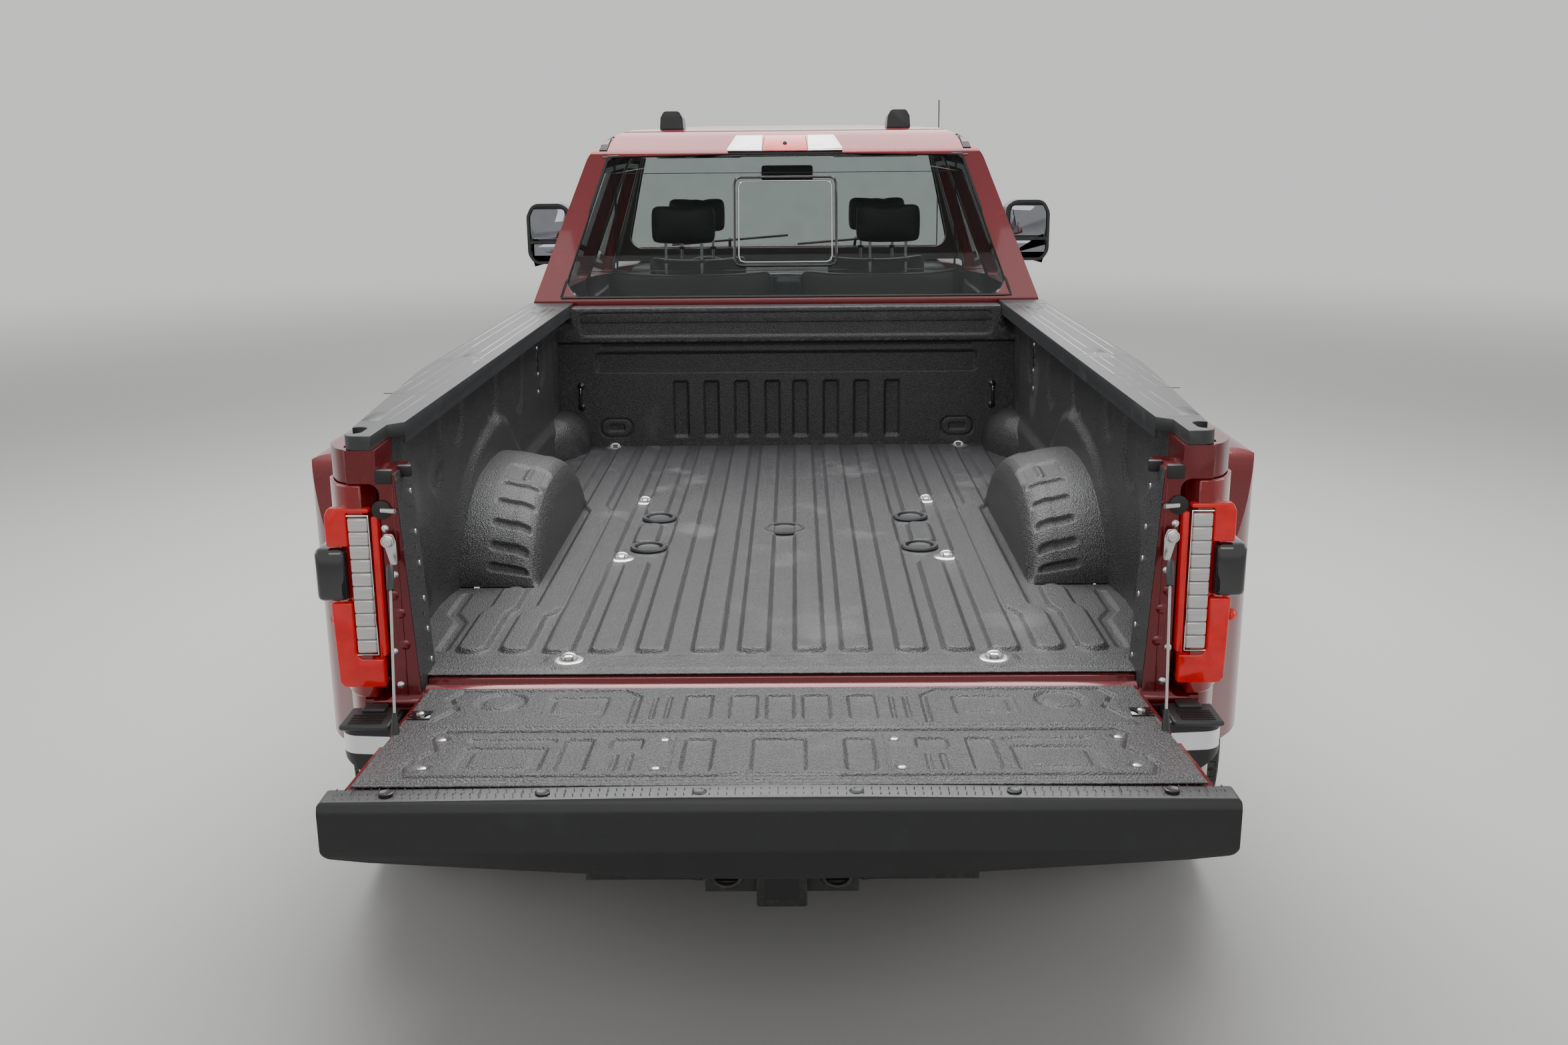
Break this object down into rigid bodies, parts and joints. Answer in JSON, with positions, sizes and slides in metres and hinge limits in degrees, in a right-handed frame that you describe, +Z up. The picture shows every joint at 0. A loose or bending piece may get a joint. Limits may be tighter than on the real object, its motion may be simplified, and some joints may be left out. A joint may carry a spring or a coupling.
{
  "type": "pickup truck",
  "caption": "Red crew-cab pickup truck with an eight-foot bed, twin rear wheels, wide rear fenders, towing mirrors and a lowered tailgate; doors, hood, tailgate, wheels and steering move",
  "frame": {"origin": "on the ground, under the middle of the truck's bounding box with the tailgate lowered", "axes": "+Y is the direction of travel, +X the right-hand side, +Z up"},
  "size_m": [2.68, 7.183, 2.2619],
  "materials": {
    "body_red": "metallic paint, glossy",
    "chassis_black": "semi-gloss",
    "engine_grey": "rough",
    "steel": "satin",
    "chrome": "polished",
    "black_plastic": "grained",
    "gloss_plastic": "glossy",
    "lamp_red": "clear, glossy",
    "lamp_clear": "clear",
    "glass": "tinted",
    "tyre": "matt",
    "leather": "grained",
    "rubber": "matt"
  },
  "bodies": {
    "chassis": {"frame": "chassis_black", "engine_block": "engine_grey", "driveline": "chassis_black", "front_axle": "chassis_black", "rear_axle": "chassis_black", "suspension": "steel", "fuel_tank": "black_plastic", "exhaust": "steel", "spare_wheel": "tyre", "hitch": "chassis_black", "radiator": "chassis_black", "cab_shell": "body_red", "cab_glass": "glass", "dashboard": "black_plastic", "seats": "leather", "front_fenders": "body_red", "wheel_liners": "black_plastic", "cowl": "black_plastic", "grille": "chrome", "headlamps": "lamp_clear", "front_bumper": "chrome", "running_boards": "black_plastic", "bed_floor": "body_red", "bed_front_wall": "body_red", "bed_sides": "body_red", "bed_liners": "body_red", "wheelhouses": "body_red", "rail_caps": "black_plastic", "rear_fenders": "body_red", "tail_lamps": "lamp_red", "tie_downs": "steel", "rear_bumper": "chrome", "gate_cables": "steel", "roof_lamps": "lamp_red", "antennas": "gloss_plastic"},
    "hood": {"hood": "body_red"},
    "tailgate": {"tailgate": "body_red", "tailgate_liner": "body_red", "tailgate_spoiler": "black_plastic"},
    "steering_wheel": {"steering_wheel": "black_plastic"},
    "tie_rod": {"tie_rod": "steel"},
    "door_front_left": {"door_front_left": "body_red", "glass_front_left": "glass", "mirror_left": "black_plastic"},
    "door_rear_left": {"door_rear_left": "body_red", "glass_rear_left": "glass"},
    "knuckle_left": {"knuckle_left": "steel"},
    "wheel_front_left": {"wheel_front_left": "tyre"},
    "wheels_rear_left": {"wheels_rear_left": "tyre"},
    "door_front_right": {"door_front_right": "body_red", "glass_front_right": "glass", "mirror_right": "black_plastic"},
    "door_rear_right": {"door_rear_right": "body_red", "glass_rear_right": "glass"},
    "knuckle_right": {"knuckle_right": "steel"},
    "wheel_front_right": {"wheel_front_right": "tyre"},
    "wheels_rear_right": {"wheels_rear_right": "tyre"}
  },
  "joints": [
    {"name": "tailgate_hinge", "type": "hinge", "parent": "chassis", "child": "tailgate", "pos_m": [0, -3.0215, 0.875], "axis": [-1, 0, 0], "range_deg": [0, 90], "deforming": ["gate_cables"]},
    {"name": "hood_hinge", "type": "hinge", "parent": "chassis", "child": "hood", "pos_m": [0, 2.1035, 1.466], "axis": [1, 0, 0], "range_deg": [0, 50]},
    {"name": "door_front_left_hinge", "type": "hinge", "parent": "chassis", "child": "door_front_left", "pos_m": [-1.016, 1.8255, 1], "axis": [0, 0, -1], "range_deg": [0, 65]},
    {"name": "door_rear_left_hinge", "type": "hinge", "parent": "chassis", "child": "door_rear_left", "pos_m": [-1.016, 0.7525, 1], "axis": [0, 0, -1], "range_deg": [0, 70]},
    {"name": "steer_left", "type": "hinge", "parent": "chassis", "child": "knuckle_left", "pos_m": [-0.77, 2.6185, 0.4], "axis": [0, 0, 1], "range_deg": [-35, 35]},
    {"name": "wheel_front_left_spin", "type": "hinge", "parent": "knuckle_left", "child": "wheel_front_left", "pos_m": [-0.905, 2.6185, 0.4], "axis": [1, 0, 0], "continuous": true},
    {"name": "wheels_rear_left_spin", "type": "hinge", "parent": "chassis", "child": "wheels_rear_left", "pos_m": [-0.927, -1.8515, 0.4], "axis": [1, 0, 0], "continuous": true},
    {"name": "door_front_right_hinge", "type": "hinge", "parent": "chassis", "child": "door_front_right", "pos_m": [1.016, 1.8255, 1], "axis": [0, 0, 1], "range_deg": [0, 65]},
    {"name": "door_rear_right_hinge", "type": "hinge", "parent": "chassis", "child": "door_rear_right", "pos_m": [1.016, 0.7525, 1], "axis": [0, 0, 1], "range_deg": [0, 70]},
    {"name": "steer_right", "type": "hinge", "parent": "chassis", "child": "knuckle_right", "pos_m": [0.77, 2.6185, 0.4], "axis": [0, 0, 1], "range_deg": [-35, 35]},
    {"name": "wheel_front_right_spin", "type": "hinge", "parent": "knuckle_right", "child": "wheel_front_right", "pos_m": [0.905, 2.6185, 0.4], "axis": [1, 0, 0], "continuous": true},
    {"name": "wheels_rear_right_spin", "type": "hinge", "parent": "chassis", "child": "wheels_rear_right", "pos_m": [0.927, -1.8515, 0.4], "axis": [1, 0, 0], "continuous": true},
    {"name": "tie_rod_pivot", "type": "hinge", "parent": "knuckle_left", "child": "tie_rod", "pos_m": [-0.77, 2.8135, 0.33], "axis": [0, 0, 1], "range_deg": [-35, 35]},
    {"name": "steering_wheel_turn", "type": "hinge", "parent": "chassis", "child": "steering_wheel", "pos_m": [-0.4, 1.29, 1.33], "axis": [0, -0.8829, 0.4695], "range_deg": [-540, 540]}
  ],
  "couplings": [
    {"joint": "steer_right", "follows": "steer_left", "ratio": 1},
    {"joint": "tie_rod_pivot", "follows": "steer_left", "ratio": -1},
    {"joint": "steering_wheel_turn", "follows": "steer_left", "ratio": 15}
  ]
}
